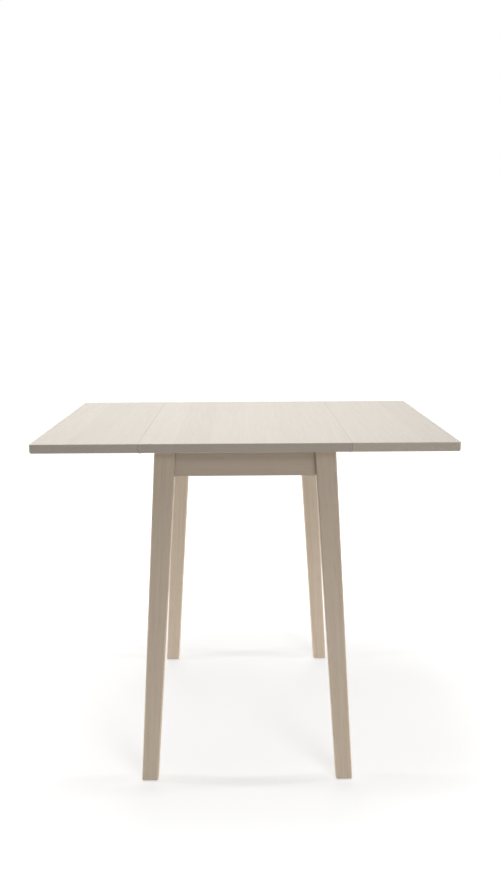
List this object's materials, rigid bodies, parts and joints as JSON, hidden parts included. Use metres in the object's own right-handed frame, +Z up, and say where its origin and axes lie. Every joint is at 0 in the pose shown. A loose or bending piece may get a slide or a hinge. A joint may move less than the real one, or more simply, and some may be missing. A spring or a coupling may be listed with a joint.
{
  "type": "drop-leaf dining table",
  "caption": "Dining table on splayed tapered legs with a rail frame. The side leaves fold down on hinges and are held level by friction stays.",
  "frame": {"origin": "on the floor under the middle of the table", "axes": "+Z up, X across the leaves, Y along the hinge lines with the front end at -Y"},
  "size_m": [0.9, 0.75, 0.75],
  "materials": {
    "wood": "whitewashed, satin lacquer",
    "steel": "zinc plated",
    "nylon": "matt"
  },
  "bodies": {
    "frame": {"centre_panel": "wood", "leg_front_left": "wood", "leg_front_right": "wood", "leg_rear_left": "wood", "leg_rear_right": "wood", "end_rail_front": "wood", "end_rail_rear": "wood", "side_rail_left": "wood", "side_rail_right": "wood", "corner_block_front_left": "wood", "corner_block_front_right": "wood", "corner_block_rear_left": "wood", "corner_block_rear_right": "wood", "leg_bolt_front_left": "steel", "leg_bolt_front_right": "steel", "leg_bolt_rear_left": "steel", "leg_bolt_rear_right": "steel", "panel_bracket_left_front": "steel", "panel_bracket_left_rear": "steel", "panel_bracket_right_front": "steel", "panel_bracket_right_rear": "steel", "foot_glide_front_left": "nylon", "foot_glide_front_right": "nylon", "foot_glide_rear_left": "nylon", "foot_glide_rear_right": "nylon", "hinge_panel_plate_left_front": "steel", "hinge_panel_plate_left_middle": "steel", "hinge_panel_plate_left_rear": "steel", "hinge_panel_plate_right_front": "steel", "hinge_panel_plate_right_middle": "steel", "hinge_panel_plate_right_rear": "steel", "hinge_pin_left_front": "steel", "hinge_pin_left_middle": "steel", "hinge_pin_left_rear": "steel", "hinge_pin_right_front": "steel", "hinge_pin_right_middle": "steel", "hinge_pin_right_rear": "steel", "stay_hanger_left_front": "steel", "stay_hanger_left_rear": "steel", "stay_hanger_right_front": "steel", "stay_hanger_right_rear": "steel"},
    "left_leaf": {"leaf_left": "wood", "hinge_leaf_plate_left_front": "steel", "hinge_leaf_plate_left_middle": "steel", "hinge_leaf_plate_left_rear": "steel", "stay_track_left_front": "steel", "stay_track_left_rear": "steel"},
    "right_leaf": {"leaf_right": "wood", "hinge_leaf_plate_right_front": "steel", "hinge_leaf_plate_right_middle": "steel", "hinge_leaf_plate_right_rear": "steel", "stay_track_right_front": "steel", "stay_track_right_rear": "steel"},
    "left_front_stay": {"stay_arm_left_front": "steel"},
    "left_rear_stay": {"stay_arm_left_rear": "steel"},
    "right_front_stay": {"stay_arm_right_front": "steel"},
    "right_rear_stay": {"stay_arm_right_rear": "steel"}
  },
  "joints": [
    {"name": "left_leaf_fold", "type": "hinge", "parent": "frame", "child": "left_leaf", "pos_m": [-0.223, 0, 0.7262], "axis": [0, -1, 0], "range_deg": [0, 90]},
    {"name": "left_front_stay_swing", "type": "hinge", "parent": "frame", "child": "left_front_stay", "pos_m": [-0.203, -0.1515, 0.7022], "axis": [0, -1, 0], "range_deg": [0, 90]},
    {"name": "left_rear_stay_swing", "type": "hinge", "parent": "frame", "child": "left_rear_stay", "pos_m": [-0.203, 0.1515, 0.7022], "axis": [0, -1, 0], "range_deg": [0, 90]},
    {"name": "right_leaf_fold", "type": "hinge", "parent": "frame", "child": "right_leaf", "pos_m": [0.223, 0, 0.7262], "axis": [0, 1, 0], "range_deg": [0, 90]},
    {"name": "right_front_stay_swing", "type": "hinge", "parent": "frame", "child": "right_front_stay", "pos_m": [0.203, -0.1515, 0.7022], "axis": [0, 1, 0], "range_deg": [0, 90]},
    {"name": "right_rear_stay_swing", "type": "hinge", "parent": "frame", "child": "right_rear_stay", "pos_m": [0.203, 0.1515, 0.7022], "axis": [0, 1, 0], "range_deg": [0, 90]}
  ],
  "couplings": [
    {"joint": "left_front_stay_swing", "follows": "left_leaf_fold", "ratio": 1},
    {"joint": "left_rear_stay_swing", "follows": "left_leaf_fold", "ratio": 1},
    {"joint": "right_front_stay_swing", "follows": "right_leaf_fold", "ratio": 1},
    {"joint": "right_rear_stay_swing", "follows": "right_leaf_fold", "ratio": 1}
  ]
}
